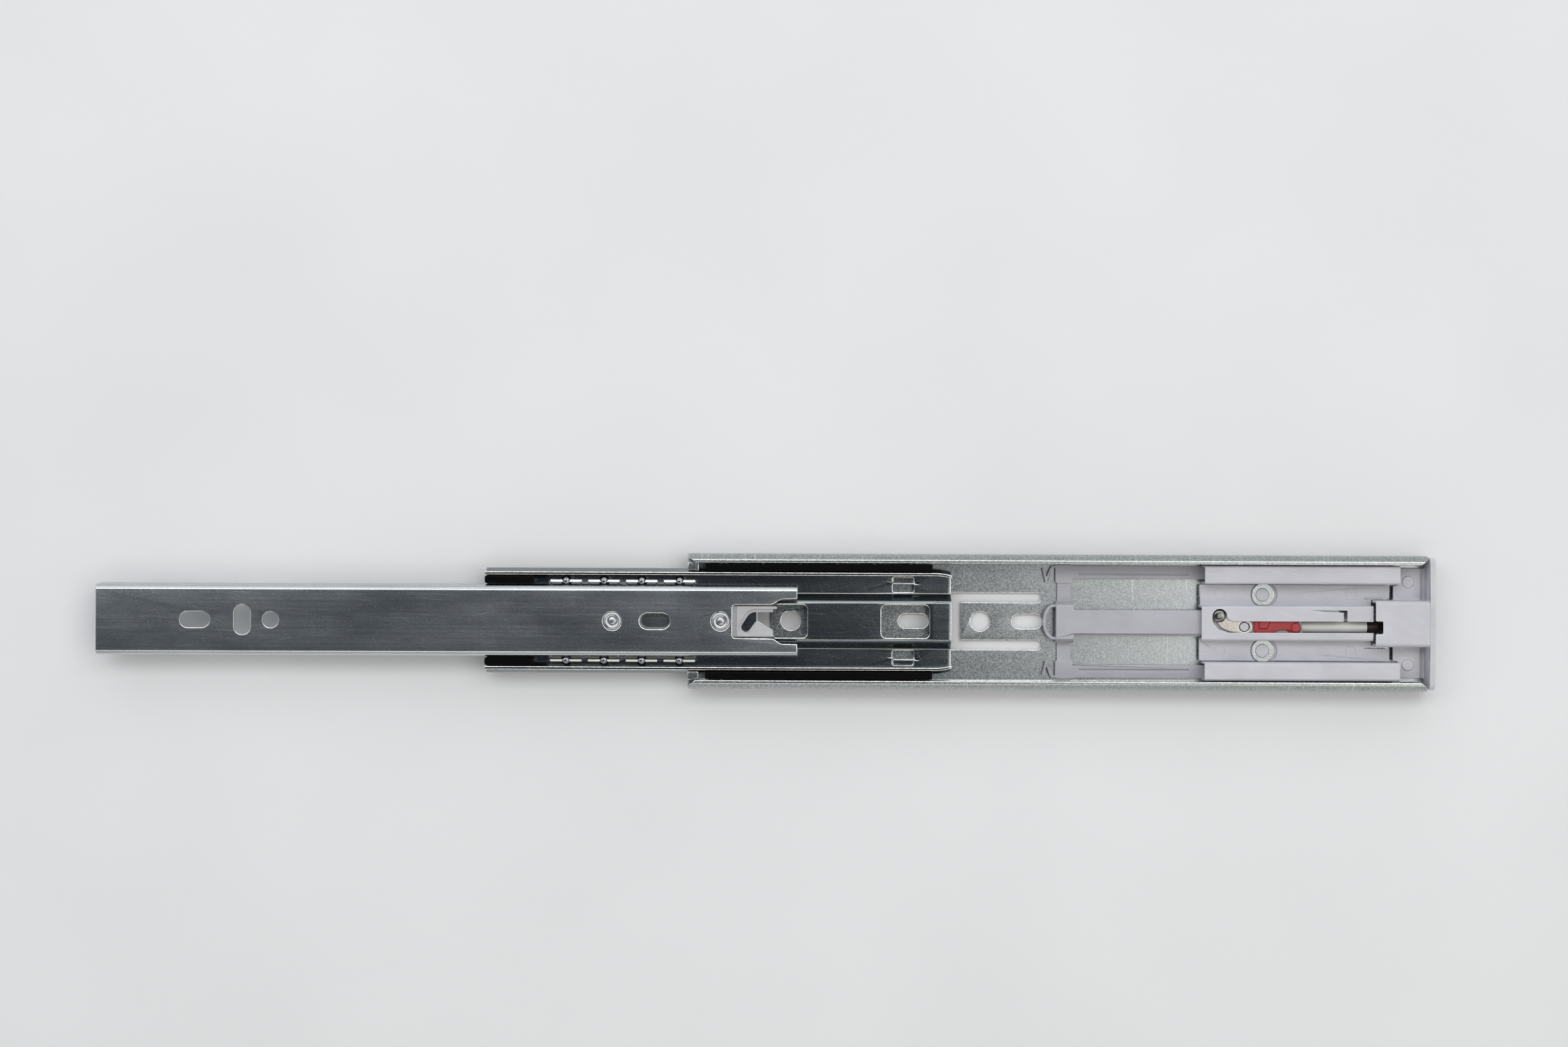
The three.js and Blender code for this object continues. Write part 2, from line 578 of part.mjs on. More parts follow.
function carriage() {
  const { front, rear } = CROSSBAR;
  const centre = alongX(outline([
    [-6.8, BASE], [6.8, BASE], [6.8, 4.9], [5.6, BAR.top], [-5.6, BAR.top], [-6.8, 4.9],
  ]), front, rear);
  const low = prism(roundedRectangle(front + 0.6, rear - 0.6, -14, 14, 0.3), BASE, 2.4);
  const loop = thinArm(
    [
      [front + 0.4, 5.6], [-2.7, 5.2], [-4.3, 3.4], [-4.9, 0],
      [-4.3, -3.4], [-2.7, -5.2], [front + 0.4, -5.6],
    ],
    0.9, BASE, 5.4,
  );
  const nib = prism(roundedRectangle(-5.7, -4.7, -0.5, 0.5, 0.4), BASE, 4.6);
  const bar = joined([
    box(rear - 0.5, BAR.rear, BAR.lower, BAR.upper, BASE, BAR.top),
    box(rear - 0.5, 47.8, BAR.step, BAR.lower + 0.5, BASE, BAR.stepTop),
  ]);
  const tunnel = DAMPER.radius + DAMPER_PLAY;
  const { y, z } = DAMPER;
  const tunnelCut = box(ROD.front + 1.5, BAR.rear + 1, y - tunnel, y + tunnel, BASE - 1, z + tunnel);
  const rodSeat = box(ROD.front - 0.3, ROD.front + 2, y - 0.9, y + 0.9, BASE - 1, z + 0.9);
  const pivotHole = disc(PIVOT.x, PIVOT.y, 1.5, 5, 8);
  const sides = SIDES.flatMap((side) => {
    const block = prism(roundedRectangle(front, rear, side * 13.1, side * 19.2, 0.8), BASE, RAIL.top);
    const strip = roundedRectangle(rear - 0.5, RAIL.rear, side * RAIL.inner, side * RAIL.outer, 0.4);
    const rail = prism(strip, BASE, RAIL.top);
    const middle = side * 16.3;
    const groove = box(rear + 2, RAIL.rear - 8, middle - 0.4, middle + 0.4, RAIL.top - 0.6, RAIL.top + 1);
    const hook = box(RAIL.rear - 1.6, RAIL.rear - 0.6, middle - 1, middle + 1, RAIL.top - 0.5, 4.6);
    const tip = [-4.1, 13.7];
    const legs = [[[-5.2, 18.1], tip], [tip, [-2.7, 17.7], [-2.1, 18.5], [front + 0.4, 18.8]]];
    const spring = joined([
      disc(tip[0], side * tip[1], 0.4, BASE, RAIL.top),
      ...legs.map((leg) => {
        return prism(thickened(leg.map(([x, y]) => vector([x, side * y])), 0.8), BASE, RAIL.top);
      }),
    ]);
    return [block, cut(rail, [groove]), hook, spring];
  });
  return joined([cut(joined([centre, bar]), [tunnelCut, rodSeat, pivotHole]), low, loop, nib, ...sides]);
}

function latchArm() {
  const reach = Math.hypot(PIN.x - PIVOT.x, PIN.y - PIVOT.y);
  const along = [(PIN.x - PIVOT.x) / reach, (PIN.y - PIVOT.y) / reach];
  const across = [-along[1], along[0]];
  const place = (run, offset) => [
    PIVOT.x + along[0] * run + across[0] * offset,
    PIVOT.y + along[1] * run + across[1] * offset,
  ];
  const waist = outline([
    place(-0.5, 2.5), place(4, 3.4), place(7, 3.3), place(reach, 2),
    place(reach, -1.9), place(6.5, -1.7), place(4, -1.3), place(-0.5, -2.4),
  ]);
  const link = joined([
    disc(PIVOT.x, PIVOT.y, 2.7, ARM.low, ARM.high),
    disc(PIN.x, PIN.y, 2.05, ARM.low, ARM.high),
    prism(waist, ARM.low, ARM.high),
  ]);
  return link.subtract(disc(PIVOT.x, PIVOT.y, ARM.hole, ARM.low - 1, ARM.high + 1));
}

function latchPin() {
  const low = ARM.high + 0.05;
  const profile = [
    [0, low], [PIN.radius, low], [PIN.radius, low + 0.2], [1.9, low + 0.38],
    [1.4, low + 0.5], [0.7, low + 0.56], [0, low + 0.58],
  ];
  const geometry = new THREE.LatheGeometry(profile.map(vector), ROUND * 3);
  geometry.rotateX(Math.PI / 2);
  geometry.translate(PIN.x, PIN.y, 0);
  return toSolid(geometry);
}

function latchPivot() {
  return joined([disc(PIVOT.x, PIVOT.y, 1.2, 5.85, 7.4), disc(PIVOT.x, PIVOT.y, 1.45, 6.7, 7.6)]);
}

function brakeSlider() {
  const low = BAR.top + 0.15;
  const body = outline(roundedLoop([
    [65.3, -3.7, 1.2], [71.4, -3.7, 1.5], [73.6, -2.3, 2], [76.2, -2.3, 1], [77.6, -3.3, 0.6],
    [80.6, -3.3, 0.3], [81.3, -1.6, 0.3], [79.6, 1.8, 0.3], [66, 2.6, 0.8], [65.3, 1, 0.6],
  ]));
  const relief = outline(roundedLoop([
    [67, -1.9, 0.3], [69.6, -1.9, 0.5], [70.6, 0.2, 0.5], [70.2, 1.6, 0.3], [67, 1.6, 0.3],
  ]));
  const lug = outline([[77.8, -2.6], [79.8, -3.1], [81, -1.7], [79.6, 0.2], [78, -0.4]]);
  return joined([prism(body, low, 7.3), prism(relief, low, 7.55), prism(lug, low, 8)]);
}

// ---- closing springs, drawn as the armed unit stretches them ----

function closingSpring(side) {
  const y = side * 16.25;
  const z = 6.6;
  const radius = 1.6;
  const wire = 0.3;
  const start = RAIL.rear - 0.3;
  const end = SIDE_COVER.rear - SIDE_COVER.wall - 0.6;
  const turns = 12;
  const stepsPerTurn = 8;
  class Helix extends THREE.Curve {
    getPoint(t, target = new THREE.Vector3()) {
      const angle = t * turns * Math.PI * 2;
      const along = start + (end - start) * t;
      return target.set(along, y + radius * Math.cos(angle), z + radius * Math.sin(angle));
    }
  }
  const section = new THREE.Shape();
  section.absarc(0, 0, wire, 0, Math.PI * 2, false);
  const geometry = new THREE.ExtrudeGeometry(section, {
    steps: turns * stepsPerTurn,
    extrudePath: new Helix(),
    curveSegments: 2,
  });
  return toSolid(geometry);
}

// ---- the slide ----

const slide = new THREE.Group();

function put(name, solid, material) {
  const mesh = new THREE.Mesh(toGeometry(solid), material);
  mesh.name = name;
  slide.add(mesh);
}

put('cabinet_member', cabinetMember(), zinc(0xb9bbbe, 0.42));
put('intermediate_member', intermediateMember(), zinc(0x9fa2a8, 0.38));
put('drawer_member', drawerMember(), zinc(0x5b6270, 0.4));
put('latch_catch', latchCatch(), plastic(0x9a9ca2, 0.5));
RIVETS.forEach((x, n) => put(`catch_rivet_${n + 1}`, rivet(x), zinc(0x8d9098, 0.35)));
put('inner_ball_cage', innerCage(), zinc(0xc4c6c9, 0.25));
SIDES.forEach((side) => {
  const name = side > 0 ? 'upper' : 'lower';
  put(`outer_ball_cage_${name}`, outerCage(side), plastic(0x1c1c1e, 0.5));
  for (let n = 0; n < OUTER_BALL.count; n += 1) {
    put(`outer_ball_${name}_${n + 1}`, ball(OUTER_BALL, side, n), zinc(0xd0d2d4, 0.12));
  }
  for (let n = 0; n < INNER_BALL.count; n += 1) {
    put(`inner_ball_${name}_${n + 1}`, ball(INNER_BALL, side, n), zinc(0xd0d2d4, 0.12));
  }
  put(`front_bumper_${name}`, frontBumper(side), plastic(0x1c1c1e, 0.55));
  put(`side_cover_${name}`, sideCover(side), plastic(0xafafb6, 0.5));
  put(`spring_eyelet_${name}`, eyelet(side), zinc(0xb0b2b6, 0.35));
  put(`closing_spring_${name}`, closingSpring(side), zinc(0xa8aaae, 0.35));
});
put('damper_housing', damperHousing(), plastic(0xafafb6, 0.5));
put('rear_cap', rearCap(), plastic(0xafafb6, 0.5));
put('carriage', carriage(), plastic(0xa8a8b0, 0.5));
put('damper_cylinder', damperCylinder(), zinc(0xcfc8b8, 0.4));
put('damper_end_cap', damperCap(), plastic(0x3a2c26, 0.5));
put('damper_rod', damperRod(), zinc(0xc9cbce, 0.2));
put('latch_arm', latchArm(), zinc(0xb4b2ac, 0.3));
put('latch_pin', latchPin(), zinc(0xc9cbce, 0.2));
put('latch_pivot', latchPivot(), plastic(0xa8a8b0, 0.5));
put('brake_slider', brakeSlider(), plastic(0x962d2d, 0.45));

export default slide;
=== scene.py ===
"""The looks of a cabinet drawer slide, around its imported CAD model. Metres, in the CAD model's frame."""

import json
import math

import bmesh
import bpy
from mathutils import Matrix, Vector


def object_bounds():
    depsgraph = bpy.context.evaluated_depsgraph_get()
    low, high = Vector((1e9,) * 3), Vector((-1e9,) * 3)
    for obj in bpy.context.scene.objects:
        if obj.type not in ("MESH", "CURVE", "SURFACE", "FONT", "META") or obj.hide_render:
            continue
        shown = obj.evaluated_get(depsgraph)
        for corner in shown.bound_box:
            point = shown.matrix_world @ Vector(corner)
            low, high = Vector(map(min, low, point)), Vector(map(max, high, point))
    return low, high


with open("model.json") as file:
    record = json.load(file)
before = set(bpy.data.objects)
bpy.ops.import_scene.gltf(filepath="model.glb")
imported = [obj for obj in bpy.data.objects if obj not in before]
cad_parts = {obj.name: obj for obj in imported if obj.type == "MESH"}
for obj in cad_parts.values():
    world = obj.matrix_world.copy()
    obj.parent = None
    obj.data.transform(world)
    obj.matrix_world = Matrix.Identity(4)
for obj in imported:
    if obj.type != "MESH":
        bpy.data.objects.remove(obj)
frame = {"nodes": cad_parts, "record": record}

MM = 0.001
NODES = frame["nodes"]
CAD_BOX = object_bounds()

# ---- camera, floor and light ----

CAMERA_HEIGHT = 0.900
FIELD_WIDTH = 0.5312  # what the picture's width covers at the floor
CAMERA_X = -0.0928
CAMERA_Y = 0.0328
CAMERA_ROLL = math.radians(0.24)
SENSOR = 36.0
FLOOR_HALF = 3.0
FLOOR_GAP = 0.0002  # keeps the floor clear of the slide's flat back
SKY_STRENGTH = 0.9
# the sky's colors, each after the height where it stands, from 0 at the horizon to 1 overhead
HORIZON = (0.0, (0.74, 0.76, 0.78, 1))
SHOULDER = (0.62, (0.40, 0.42, 0.44, 1))
ZENITH = (0.93, (0.036, 0.045, 0.058, 1))


def make_camera():
    data = bpy.data.cameras.new("camera")
    data.sensor_width = SENSOR
    data.lens = SENSOR * CAMERA_HEIGHT / FIELD_WIDTH
    data.clip_start = 0.01
    data.clip_end = 20
    camera = bpy.data.objects.new("camera", data)
    camera.location = (CAMERA_X, CAMERA_Y, CAMERA_HEIGHT)
    camera.rotation_euler = (0, 0, CAMERA_ROLL)
    bpy.context.scene.collection.objects.link(camera)
    bpy.context.scene.camera = camera


def area_light(name, place, aim, size, power, color=(1, 1, 1)):
    data = bpy.data.lights.new(name, "AREA")
    data.shape = "RECTANGLE"
    data.size, data.size_y = size
    data.energy = power
    data.color = color
    light = bpy.data.objects.new(name, data)
    light.location = place
    light.rotation_euler = (Vector(aim) - Vector(place)).to_track_quat("-Z", "Y").to_euler()
    bpy.context.scene.collection.objects.link(light)


def make_world():
    """A plain studio sky: dim overhead, where flat steel mirrors it, and bright towards the horizon."""
    world = bpy.data.worlds.new("studio")
    world.use_nodes = True
    nodes, links = world.node_tree.nodes, world.node_tree.links
    background = nodes["Background"]
    place = nodes.new("ShaderNodeTexCoord")
    split = nodes.new("ShaderNodeSeparateXYZ")
    links.new(place.outputs["Generated"], split.inputs["Vector"])
    ramp = nodes.new("ShaderNodeValToRGB")
    links.new(split.outputs["Z"], ramp.inputs["Fac"])
    stops = ramp.color_ramp.elements
    stops[0].position, stops[0].color = HORIZON
    stops[1].position, stops[1].color = ZENITH
    stops.new(SHOULDER[0]).color = SHOULDER[1]
    links.new(ramp.outputs["Color"], background.inputs["Color"])
    background.inputs["Strength"].default_value = SKY_STRENGTH
    bpy.context.scene.world = world


def make_lights():
    middle = (CAMERA_X, 0, 0)
    area_light("light_back", (-0.15, 0.56, 1.2), middle, (2.4, 0.5), 8.5)
    area_light("light_front", (0.16, -0.58, 1.15), middle, (2.0, 0.36), 3.4, (1, 0.93, 0.80))
    area_light("light_back_low", (-0.15, 1.15, 0.75), middle, (2.6, 0.7), 4)
    area_light("light_right", (0.52, 0.05, 1.3), middle, (0.5, 0.8), 2)
    area_light("light_left", (-1.5, -0.2, 0.8), middle, (0.8, 1.4), 1.5, (1, 0.95, 0.88))
    make_world()


# ---- material building blocks ----


class Shader:
    """A material under construction: a Principled shader and short calls that add nodes to it."""

    def __init__(self, name, roughness=0.4, metallic=0.0, **sockets):
        self.material = bpy.data.materials.new(name)
        self.material.use_nodes = True
        self.tree = self.material.node_tree
        self.shader = self.tree.nodes["Principled BSDF"]
        self.set(**{"Roughness": roughness, "Metallic": metallic, **sockets})
        self.place = self.node("ShaderNodeTexCoord").outputs["Object"]

    def set(self, **sockets):
        for name, value in sockets.items():
            self.shader.inputs[name.replace("_", " ")].default_value = value

    def node(self, kind, **settings):
        made = self.tree.nodes.new(kind)
        for name, value in settings.items():
            setattr(made, name, value)
        return made

    def feed(self, socket, value):
        if isinstance(value, bpy.types.NodeSocket):
            self.tree.links.new(value, socket)
        else:
            socket.default_value = value

    def link(self, value, name):
        self.tree.links.new(value, self.shader.inputs[name])

    def scaled(self, scale, turn=(0, 0, 0), shift=(0, 0, 0)):
        """The piece's own coordinates, turned and then stretched: larger numbers make finer patterns."""
        turned = self.node("ShaderNodeMapping", vector_type="POINT")
        self.tree.links.new(self.place, turned.inputs["Vector"])
        turned.inputs["Rotation"].default_value = turn
        stretched = self.node("ShaderNodeMapping", vector_type="POINT")
        self.tree.links.new(turned.outputs["Vector"], stretched.inputs["Vector"])
        stretched.inputs["Location"].default_value = shift
        stretched.inputs["Scale"].default_value = scale
        return stretched.outputs["Vector"]

    def noise(self, scale, detail, rough, turn=(0, 0, 0), shift=(0, 0, 0)):
        made = self.node("ShaderNodeTexNoise")
        self.tree.links.new(self.scaled(scale, turn, shift), made.inputs["Vector"])
        made.inputs["Scale"].default_value = 1.0
        made.inputs["Detail"].default_value = detail
        made.inputs["Roughness"].default_value = rough
        return made.outputs["Fac"]

    def cells(self, scale):
        """A random number for each of many small cells, like the grains of a zinc coat."""
        made = self.node("ShaderNodeTexVoronoi", feature="F1")
        self.tree.links.new(self.scaled(scale), made.inputs["Vector"])
        made.inputs["Scale"].default_value = 1.0
        split = self.node("ShaderNodeSeparateColor")
        self.tree.links.new(made.outputs["Color"], split.inputs["Color"])
        return split.outputs["Red"]

    def remap(self, value, low, high, to_low=0.0, to_high=1.0):
        made = self.node("ShaderNodeMapRange", clamp=True)
        self.feed(made.inputs["Value"], value)
        for name, number in zip(("From Min", "From Max", "To Min", "To Max"), (low, high, to_low, to_high)):
            made.inputs[name].default_value = number
        return made.outputs["Result"]

    def math(self, operation, a, b):
        made = self.node("ShaderNodeMath", operation=operation)
        self.feed(made.inputs[0], a)
        self.feed(made.inputs[1], b)
        return made.outputs["Value"]

    def mix(self, share, a, b):
        made = self.node("ShaderNodeMix", data_type="RGBA")
        self.feed(made.inputs["Factor"], share)
        for name, value in (("A", a), ("B", b)):
            socket = next(s for s in made.inputs if s.name == name and s.type == "RGBA")
            self.feed(socket, value if isinstance(value, bpy.types.NodeSocket) else (*value, 1))
        return next(s for s in made.outputs if s.type == "RGBA")

    def scratches(self, turn, spacing, length, share, shift=(0, 0, 0)):
        """Thin straight marks in one direction: 1 on a mark and 0 elsewhere."""
        across = self.noise((1 / length, 1 / spacing, 1 / length), 0.0, 0.5, (0, 0, turn), shift)
        return self.remap(across, 1 - share, 1 - share + 0.03)

    def bump(self, height, depth):
        made = self.node("ShaderNodeBump")
        made.inputs["Distance"].default_value = depth
        made.inputs["Strength"].default_value = 1.0
        self.tree.links.new(height, made.inputs["Height"])
        self.tree.links.new(made.outputs["Normal"], self.shader.inputs["Normal"])


# handling scratches: angle in degrees, length in metres and how common they are
MARKS = ((4, 0.022, 0.235), (-11, 0.014, 0.22), (68, 0.012, 0.21), (33, 0.012, 0.205))
MARK_SPACING = 0.00016
PLASTIC_GRAIN = 7e-6  # depth of the mould's spark-eroded texture
PLASTIC_MOTTLE = 0.08  # how far the clouding moves the color either way


def rolled_steel(name, dark, light, roughness, scratch, depth=4e-7):
    """Zinc-plated sheet steel: rolling streaks along the slide, clouding, dust specks and scratches."""
    m = Shader(name, metallic=1.0)
    streaks = m.noise((9, 1800, 1800), 3.0, 0.6)
    clouds = m.noise((28, 70, 70), 5.0, 0.6)
    grain = m.noise((2200, 4200, 4200), 2.0, 0.6)
    specks = m.remap(m.noise((3000, 3000, 3000), 0.0, 0.5), 0.765, 0.79)
    marks = [
        m.scratches(math.radians(angle), MARK_SPACING, length, share, (angle, 0, 0))
        for angle, length, share in MARKS
    ]
    scratched = marks[0]
    for mark in marks[1:]:
        scratched = m.math("MAXIMUM", scratched, mark)
    worn = m.math("MULTIPLY", m.math("MAXIMUM", m.math("MULTIPLY", scratched, 0.6), specks), scratch)
    blend = m.math("ADD", m.math("MULTIPLY", streaks, 0.35), m.math("MULTIPLY", clouds, 0.65))
    mottled = m.math("ADD", m.math("MULTIPLY", blend, 0.75), m.math("MULTIPLY", grain, 0.25))
    base = m.mix(m.remap(mottled, 0.38, 0.62), dark, light)
    bright = tuple(min(1.0, c * 1.4 + 0.2) for c in light)
    m.link(m.mix(worn, base, bright), "Base Color")
    rough = m.remap(mottled, 0.35, 0.65, roughness * 0.88, roughness * 1.15)
    m.link(m.math("ADD", rough, m.math("MULTIPLY", worn, 0.35)), "Roughness")
    height = m.math("ADD", m.math("MULTIPLY", streaks, 0.4), m.math("MULTIPLY", grain, 0.6))
    m.bump(m.math("SUBTRACT", height, m.math("MULTIPLY", scratched, 0.8)), depth)
    return m.material


def galvanised(name, dark, light, roughness):
    """Galvanised sheet: fine bright and dark zinc grains under a soft clouding."""
    m = Shader(name, metallic=1.0)
    grains = m.cells((3900, 3900, 3900))
    small = m.noise((5200, 5200, 5200), 3.0, 0.7)
    clouds = m.noise((70, 90, 90), 4.0, 0.6)
    lines = m.scratches(math.radians(90), 0.0008, 0.03, 0.24)
    blend = m.math("ADD", m.math("MULTIPLY", grains, 0.4), m.math("MULTIPLY", small, 0.6))
    base = m.mix(m.remap(blend, 0.30, 0.74), dark, light)
    cloudy = m.mix(m.remap(clouds, 0.3, 0.7, 0.0, 0.45), base, tuple(c * 0.78 for c in light))
    m.link(m.mix(m.math("MULTIPLY", lines, 0.35), cloudy, (0.86, 0.88, 0.86)), "Base Color")
    m.link(m.remap(grains, 0, 1, roughness * 0.85, roughness * 1.2), "Roughness")
    m.bump(m.math("ADD", m.math("MULTIPLY", grains, 0.5), small), 2e-6)
    return m.material


def edge_highlight_and_wear(name, color, roughness):
    """Zinc along a rounded edge or rim, painted far brighter than its sheet: a painted highlight for the
    light that rounded rims catch, with patchy wear.
    """
    m = Shader(name, metallic=1.0)
    # patchiness of the painted edge highlight, partly wear
    wear_and_sheen = m.noise((900, 1500, 1500), 3.0, 0.6)
    m.link(m.mix(m.remap(wear_and_sheen, 0.35, 0.7), tuple(c * 0.62 for c in color), color), "Base Color")
    m.link(m.remap(wear_and_sheen, 0.3, 0.7, roughness * 1.3, roughness * 0.8), "Roughness")
    m.bump(m.noise((2500, 4000, 4000), 2.0, 0.6), 3e-6)
    return m.material


def moulded(name, color, roughness, specular=0.45):
    """Injection-moulded plastic: fine spark-eroded grain, faint flow clouding and small rub marks."""
    m = Shader(name, Specular_IOR_Level=specular)
    clouds = m.noise((60, 90, 90), 3.0, 0.55)
    fine = m.noise((3800, 3800, 3800), 3.0, 0.65)
    rub = m.scratches(math.radians(12), 0.0006, 0.006, 0.33)
    dim = tuple(c * (1 - PLASTIC_MOTTLE) for c in color)
    lit = tuple(min(1.0, c * (1 + PLASTIC_MOTTLE)) for c in color)
    blend = m.math("ADD", m.math("MULTIPLY", clouds, 0.7), m.math("MULTIPLY", fine, 0.3))
    base = m.mix(m.remap(blend, 0.35, 0.65), dim, lit)
    rubbed = tuple(min(1.0, c * 1.4 + 0.01) for c in color)
    m.link(m.mix(m.math("MULTIPLY", rub, 0.12), base, rubbed), "Base Color")
    m.link(m.remap(fine, 0.3, 0.7, roughness * 0.85, roughness * 1.2), "Roughness")
    m.bump(fine, PLASTIC_GRAIN)
    return m.material


def polished(name, color, roughness, haze=0.82):
    """Smooth turned or ground steel with a faint haze; a lower haze number makes a blotchier tarnish."""
    m = Shader(name, metallic=1.0)
    film = m.noise((700, 700, 700), 3.0, 0.6)
    m.link(m.mix(m.remap(film, 0.35, 0.65), tuple(c * haze for c in color), color), "Base Color")
    m.link(m.remap(film, 0.3, 0.7, roughness * 0.7, roughness * 1.5), "Roughness")
    m.bump(m.noise((3000, 3000, 3000), 2.0, 0.6), 1.5e-6)
    return m.material


def foam_floor(name):
    m = Shader(name, roughness=0.75, Specular_IOR_Level=0.2)
    beads = m.noise((230, 230, 230), 3.0, 0.5)
    slow = m.noise((9, 9, 9), 2.0, 0.5)
    m.link(m.mix(m.remap(slow, 0.3, 0.7), (0.84, 0.845, 0.855), (0.88, 0.885, 0.895)), "Base Color")
    m.bump(beads, 9e-5)
    return m.material


MATERIALS = {
    "galvanised_steel": galvanised("galvanised_steel", (0.24, 0.255, 0.255), (0.62, 0.65, 0.645), 0.25),
    "zinc_steel": rolled_steel("zinc_steel", (0.22, 0.24, 0.25), (0.31, 0.33, 0.34), 0.18, 0.3, 3e-7),
    "dark_zinc_steel": rolled_steel("dark_zinc_steel", (0.52, 0.555, 0.58), (0.65, 0.69, 0.715), 0.23, 0.2),
    "cage_steel": rolled_steel("cage_steel", (0.40, 0.42, 0.42), (0.58, 0.60, 0.58), 0.2, 0.2),
    "rivet_steel": polished("rivet_steel", (0.50, 0.52, 0.55), 0.28),
    "ball_steel": polished("ball_steel", (0.34, 0.35, 0.37), 0.08),
    "polished_steel": polished("polished_steel", (0.30, 0.29, 0.28), 0.16, 0.5),
    "spring_steel": polished("spring_steel", (0.62, 0.63, 0.65), 0.25),
    "nickel_steel": galvanised("nickel_steel", (0.46, 0.43, 0.39), (0.74, 0.70, 0.65), 0.36),
    # painted light: the steel damper cylinder is shaded as near-white matte plastic, its colour raised to
    # stand in for the white its steel reflects and to lift it out of the shade of its slot
    "cylinder_steel": moulded("cylinder_steel", (0.93, 0.93, 0.88), 0.4),
    "grey_plastic": moulded("grey_plastic", (0.60, 0.60, 0.645), 0.42),
    "carriage_plastic": moulded("carriage_plastic", (0.47, 0.47, 0.515), 0.4),
    "catch_plastic": moulded("catch_plastic", (0.50, 0.50, 0.52), 0.42),
    "black_plastic": moulded("black_plastic", (0.002, 0.002, 0.0025), 0.34, specular=0.08),
    "brown_plastic": moulded("brown_plastic", (0.032, 0.020, 0.014), 0.4),
    "red_plastic": moulded("red_plastic", (0.42, 0.040, 0.045), 0.35),
}
# painted highlights: lighter colours for the faces of rounded edges, standing in for the light that rounded
# rims catch; on the steel partly also wear
EDGE_HIGHLIGHTS = {
    "galvanised_steel": edge_highlight_and_wear("galvanised_edge", (0.86, 0.89, 0.89), 0.25),
    "zinc_steel": edge_highlight_and_wear("zinc_edge", (0.88, 0.90, 0.89), 0.22),
    "dark_zinc_steel": edge_highlight_and_wear("dark_zinc_edge", (0.88, 0.90, 0.90), 0.22),
    "cage_steel": edge_highlight_and_wear("cage_edge", (0.97, 0.98, 0.99), 0.3),
    "nickel_steel": edge_highlight_and_wear("nickel_edge", (0.92, 0.88, 0.82), 0.25),
    # the plastic rims: painted highlight only, a lighter grey than the face
    "catch_plastic": moulded("catch_edge", (0.56, 0.56, 0.58), 0.4),
    "grey_plastic": moulded("grey_edge", (0.66, 0.66, 0.70), 0.4),
    "carriage_plastic": moulded("carriage_edge", (0.52, 0.52, 0.56), 0.4),
}


# ---- finishing the CAD pieces ----


def smooth_group(limit):
    """A geometry-node group: keeps a rounded piece in its own box and shades it smooth under an angle."""
    group = bpy.data.node_groups.new("smooth_under_angle", "GeometryNodeTree")
    group.interface.new_socket("Geometry", in_out="INPUT", socket_type="NodeSocketGeometry")
    group.interface.new_socket("Low", in_out="INPUT", socket_type="NodeSocketVector")
    group.interface.new_socket("High", in_out="INPUT", socket_type="NodeSocketVector")
    group.interface.new_socket("Geometry", in_out="OUTPUT", socket_type="NodeSocketGeometry")
    nodes, links = group.nodes, group.links
    start, end = nodes.new("NodeGroupInput"), nodes.new("NodeGroupOutput")
    place = nodes.new("GeometryNodeInputPosition").outputs["Position"]
    for operation, side in (("MAXIMUM", "Low"), ("MINIMUM", "High")):
        keep = nodes.new("ShaderNodeVectorMath")
        keep.operation = operation
        links.new(place, keep.inputs[0])
        links.new(start.outputs[side], keep.inputs[1])
        place = keep.outputs["Vector"]
    kept = nodes.new("GeometryNodeSetPosition")
    links.new(start.outputs["Geometry"], kept.inputs["Geometry"])
    links.new(place, kept.inputs["Position"])
    angle = nodes.new("GeometryNodeInputMeshEdgeAngle")
    below = nodes.new("FunctionNodeCompare")
    below.operation = "LESS_THAN"
    below.inputs["B"].default_value = limit
    links.new(angle.outputs["Unsigned Angle"], below.inputs["A"])
    faces = nodes.new("GeometryNodeSetShadeSmooth")
    edges = nodes.new("GeometryNodeSetShadeSmooth")
    edges.domain = "EDGE"
    links.new(kept.outputs["Geometry"], faces.inputs["Geometry"])
    links.new(faces.outputs["Geometry"], edges.inputs["Geometry"])
    links.new(below.outputs["Result"], edges.inputs["Shade Smooth"])
    links.new(edges.outputs["Geometry"], end.inputs[0])
    return group


MERGE_DISTANCE = 2e-6
ROUNDED_ANGLE = math.radians(42)
SMOOTH_ANGLE = math.radians(40)
NORMAL_WEIGHT = 80  # over 50, so that large faces keep their shading flat
EDGE_SLOT = 1  # where dress() puts a piece's painted edge highlight
SMOOTH = smooth_group(SMOOTH_ANGLE)
BOX_SOCKETS = [item.identifier for item in SMOOTH.interface.items_tree if item.name in ("Low", "High")]


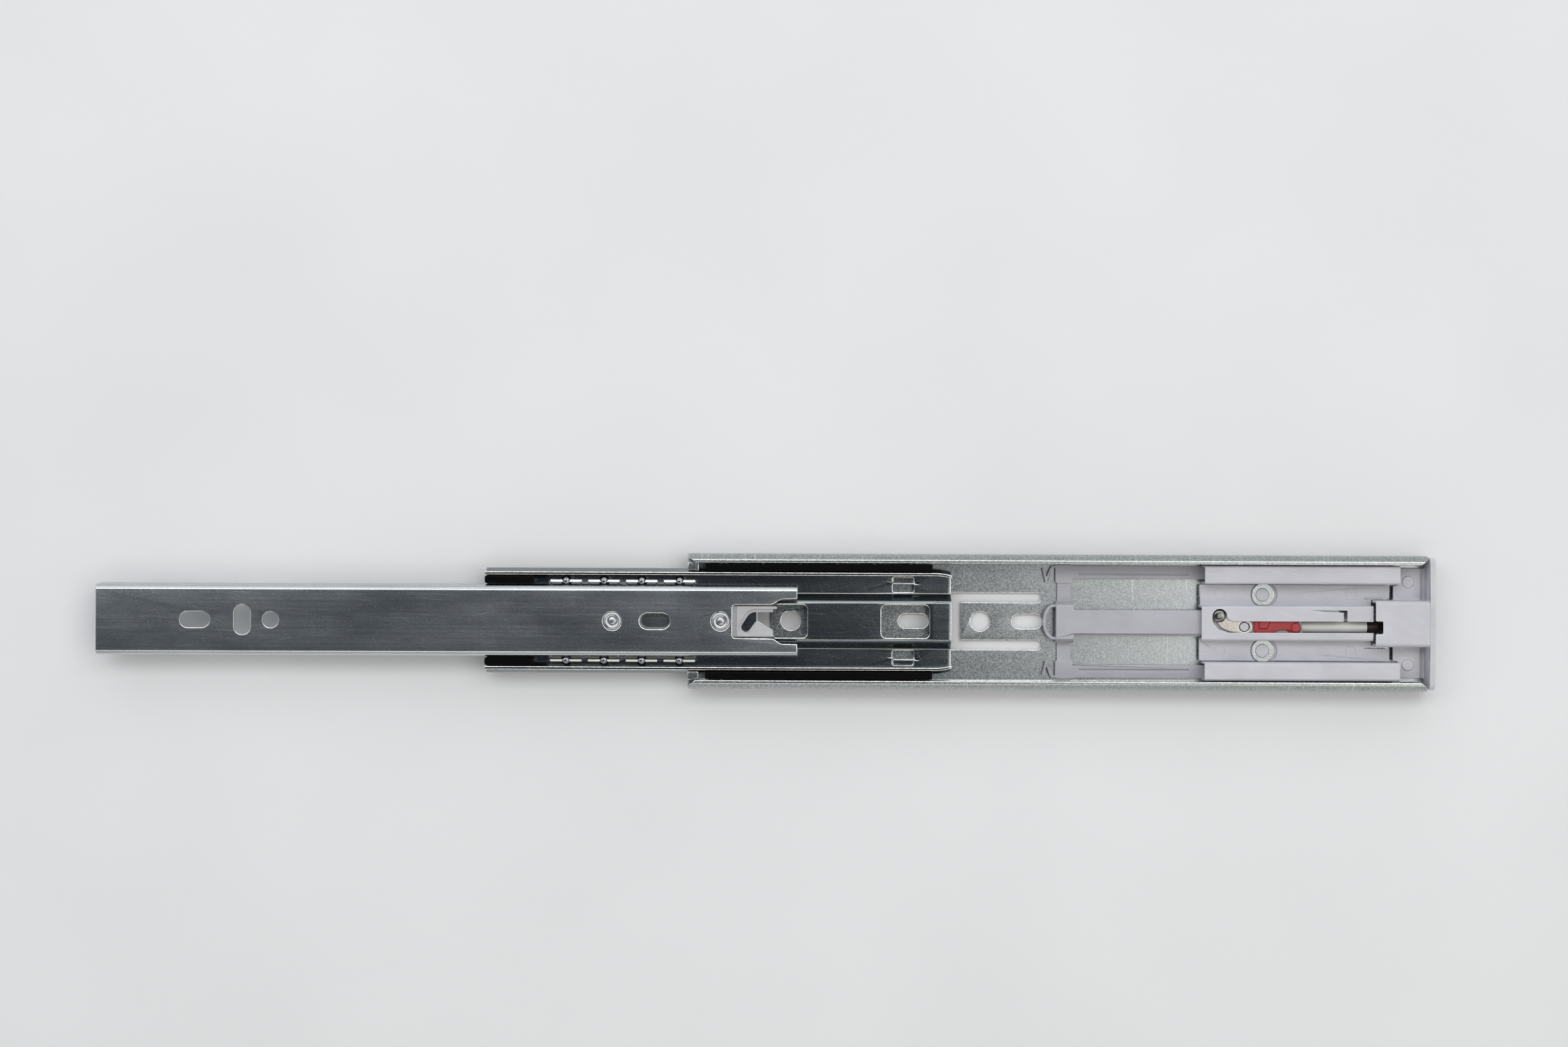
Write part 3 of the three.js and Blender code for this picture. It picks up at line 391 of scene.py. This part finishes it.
def finish_edges(piece, width, has_edge_highlight):
    """Merges the piece's split corners, rounds its sharp edges by width and shades it smooth."""
    weld = piece.modifiers.new("weld", "WELD")
    weld.merge_threshold = MERGE_DISTANCE
    if width:
        bevel = piece.modifiers.new("round", "BEVEL")
        bevel.width = width
        bevel.segments = 2
        bevel.limit_method = "ANGLE"
        bevel.angle_limit = ROUNDED_ANGLE
        bevel.use_clamp_overlap = False
        bevel.loop_slide = False
        if has_edge_highlight:
            # the rounded faces take the painted edge highlight
            bevel.material = EDGE_SLOT
    smooth = piece.modifiers.new("smooth", "NODES")
    smooth.node_group = SMOOTH
    corners = [vertex.co for vertex in piece.data.vertices]
    for socket, pick in zip(BOX_SOCKETS, (min, max)):
        smooth[socket] = [pick(corner[axis] for corner in corners) for axis in range(3)]
    if width:
        normals = piece.modifiers.new("normals", "WEIGHTED_NORMAL")
        normals.keep_sharp = True
        normals.weight = NORMAL_WEIGHT


def dress(piece, slot):
    piece.data.materials.clear()
    piece.data.materials.append(MATERIALS[slot])
    # a second slot holds the painted edge highlight
    if slot in EDGE_HIGHLIGHTS:
        piece.data.materials.append(EDGE_HIGHLIGHTS[slot])


# width of the rounded edges in millimetres; pieces that aren't listed stay sharp
ROUNDING = {
    "cabinet_member": 0.28, "intermediate_member": 0.27, "drawer_member": 0.33,
    "latch_catch": 0.22, "damper_housing": 0.16, "rear_cap": 0.45, "carriage": 0.2,
    "side_cover_upper": 0.3, "side_cover_lower": 0.3, "brake_slider": 0.3, "latch_arm": 0.16,
    "front_bumper_upper": 0.3, "front_bumper_lower": 0.3,
    "outer_ball_cage_upper": 0.16, "outer_ball_cage_lower": 0.16,
    "latch_pivot": 0.2, "damper_end_cap": 0.2, "damper_cylinder": 0.2,
}


def dress_cad():
    for row in frame["record"]["subparts"]:
        node, slot = row["node"], row["material_slot"]
        piece = NODES[node]
        dress(piece, slot)
        finish_edges(piece, ROUNDING.get(node, 0) * MM, has_edge_highlight=slot in EDGE_HIGHLIGHTS)


def make_floor():
    mesh = bpy.data.meshes.new("floor")
    made = bmesh.new()
    bmesh.ops.create_grid(made, x_segments=1, y_segments=1, size=FLOOR_HALF)
    made.to_mesh(mesh)
    made.free()
    floor = bpy.data.objects.new("floor", mesh)
    bpy.context.scene.collection.objects.link(floor)
    floor.location = (0, 0, CAD_BOX[0].z - FLOOR_GAP)
    floor.data.materials.append(foam_floor("foam_floor"))


bpy.context.scene.view_settings.view_transform = "Standard"
make_camera()
make_lights()
make_floor()
dress_cad()
